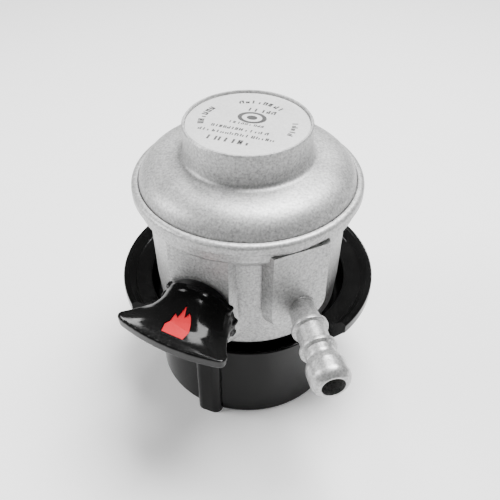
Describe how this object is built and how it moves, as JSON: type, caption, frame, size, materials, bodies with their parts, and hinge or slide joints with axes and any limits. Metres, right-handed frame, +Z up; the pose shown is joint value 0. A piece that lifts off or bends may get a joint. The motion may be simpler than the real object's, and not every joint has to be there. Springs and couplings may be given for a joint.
{
  "type": "clip-on gas regulator",
  "caption": "Clip-on low-pressure LPG cylinder regulator with a lift-to-release collar, a quarter-turn switch lever, a barbed hose nozzle and a spring-loaded diaphragm.",
  "frame": {"origin": "centre of the valve socket's mouth, in the plane that the regulator stands on", "axes": "+Z up along the main axis of socket, diaphragm and spring tower; -Y is the front, between the switch lever (to -X) and the hose nozzle (to +X)"},
  "size_m": [0.0784, 0.0961, 0.089],
  "materials": {
    "cast_zinc": "die-cast zinc with a fine silver-grey powder finish",
    "cap_print": null,
    "nozzle_metal": "as-cast bright zinc, slightly rough",
    "black_plastic": "glossy moulded black plastic",
    "red_plastic": "satin red plastic",
    "white_plastic": "natural acetal",
    "brass": "turned brass",
    "rubber": "black nitrile rubber",
    "spring_steel": "drawn spring wire",
    "bright_steel": "bright steel",
    "aluminium": "pressed aluminium"
  },
  "bodies": {
    "housing": {"body": "cast_zinc", "bonnet": "cast_zinc", "cap_disc": "cap_print", "adjusting_plug": "white_plastic", "lever_pin": "bright_steel", "inlet_jet": "brass", "inlet_seal": "rubber", "gland_bush": "brass", "retaining_ring": "spring_steel", "hose_nozzle": "nozzle_metal", "excess_flow_cage": "brass", "diaphragm": "rubber", "main_spring": "spring_steel", "collar_spring": "spring_steel", "plunger_spring": "spring_steel", "excess_flow_spring": "spring_steel"},
    "switch": {"switch_lever": "black_plastic", "flame_indicator": "red_plastic", "lever_screw": "bright_steel", "cam_shaft": "brass", "shaft_o_ring": "rubber"},
    "plunger": {"plunger": "brass"},
    "collar": {"release_collar": "black_plastic", "locking_ring": "bright_steel"},
    "diaphragm_stack": {"diaphragm_plate": "aluminium", "diaphragm_post": "aluminium", "post_clip": "spring_steel"},
    "regulating_lever": {"regulator_lever": "bright_steel"},
    "valve_slider": {"pad_carrier": "brass", "valve_pad": "rubber"},
    "flow_poppet": {"excess_flow_poppet": "white_plastic"},
    "ball_1": {"locking_ball_1": "bright_steel"},
    "ball_2": {"locking_ball_2": "bright_steel"},
    "ball_3": {"locking_ball_3": "bright_steel"},
    "ball_4": {"locking_ball_4": "bright_steel"},
    "ball_5": {"locking_ball_5": "bright_steel"},
    "ball_6": {"locking_ball_6": "bright_steel"}
  },
  "joints": [
    {"name": "switch_turn", "type": "hinge", "parent": "housing", "child": "switch", "pos_m": [0, 0, 0.0448], "axis": [-0.4384, -0.8988, 0], "range_deg": [0, 90]},
    {"name": "plunger_travel", "type": "slide", "parent": "housing", "child": "plunger", "axis": [0, 0, 1], "range_m": [0, 0.00298], "deforming": ["plunger_spring"]},
    {"name": "collar_lift", "type": "slide", "parent": "housing", "child": "collar", "axis": [0, 0, 1], "range_m": [0, 0.004], "stiffness_N_per_m": 1500, "springref_m": -0.008, "deforming": ["collar_spring"]},
    {"name": "diaphragm_lift", "type": "slide", "parent": "housing", "child": "diaphragm_stack", "axis": [0, 0, 1], "range_m": [0, 0.002], "stiffness_N_per_m": 800, "springref_m": -0.006, "deforming": ["main_spring", "diaphragm"]},
    {"name": "lever_swing", "type": "hinge", "parent": "housing", "child": "regulating_lever", "pos_m": [0.015, 0, 0.06], "axis": [0, 1, 0], "range_deg": [0, 7.65]},
    {"name": "pad_slide", "type": "slide", "parent": "housing", "child": "valve_slider", "axis": [-1, 0, 0], "range_m": [0, 0.000601]},
    {"name": "excess_flow_shut", "type": "slide", "parent": "housing", "child": "flow_poppet", "axis": [0, 0, -1], "range_m": [0, 0.0017], "stiffness_N_per_m": 60, "springref_m": -0.003, "deforming": ["excess_flow_spring"]},
    {"name": "ball_1_slide", "type": "slide", "parent": "housing", "child": "ball_1", "axis": [0.5, -0.866, 0], "range_m": [0, 0.0014]},
    {"name": "ball_2_slide", "type": "slide", "parent": "housing", "child": "ball_2", "axis": [1, 0, 0], "range_m": [0, 0.0014]},
    {"name": "ball_3_slide", "type": "slide", "parent": "housing", "child": "ball_3", "axis": [0.5, 0.866, 0], "range_m": [0, 0.0014]},
    {"name": "ball_4_slide", "type": "slide", "parent": "housing", "child": "ball_4", "axis": [-0.5, 0.866, 0], "range_m": [0, 0.0014]},
    {"name": "ball_5_slide", "type": "slide", "parent": "housing", "child": "ball_5", "axis": [-1, 0, 0], "range_m": [0, 0.0014]},
    {"name": "ball_6_slide", "type": "slide", "parent": "housing", "child": "ball_6", "axis": [-0.5, -0.866, 0], "range_m": [0, 0.0014]}
  ],
  "couplings": [
    {"joint": "plunger_travel", "follows": "switch_turn", "m_per_rad": 0.0018907},
    {"joint": "lever_swing", "follows": "diaphragm_lift", "rad_per_m": 66.667},
    {"joint": "pad_slide", "follows": "diaphragm_lift", "ratio": 0.3},
    {"joint": "ball_1_slide", "follows": "collar_lift", "ratio": 0.35},
    {"joint": "ball_2_slide", "follows": "collar_lift", "ratio": 0.35},
    {"joint": "ball_3_slide", "follows": "collar_lift", "ratio": 0.35},
    {"joint": "ball_4_slide", "follows": "collar_lift", "ratio": 0.35},
    {"joint": "ball_5_slide", "follows": "collar_lift", "ratio": 0.35},
    {"joint": "ball_6_slide", "follows": "collar_lift", "ratio": 0.35}
  ]
}
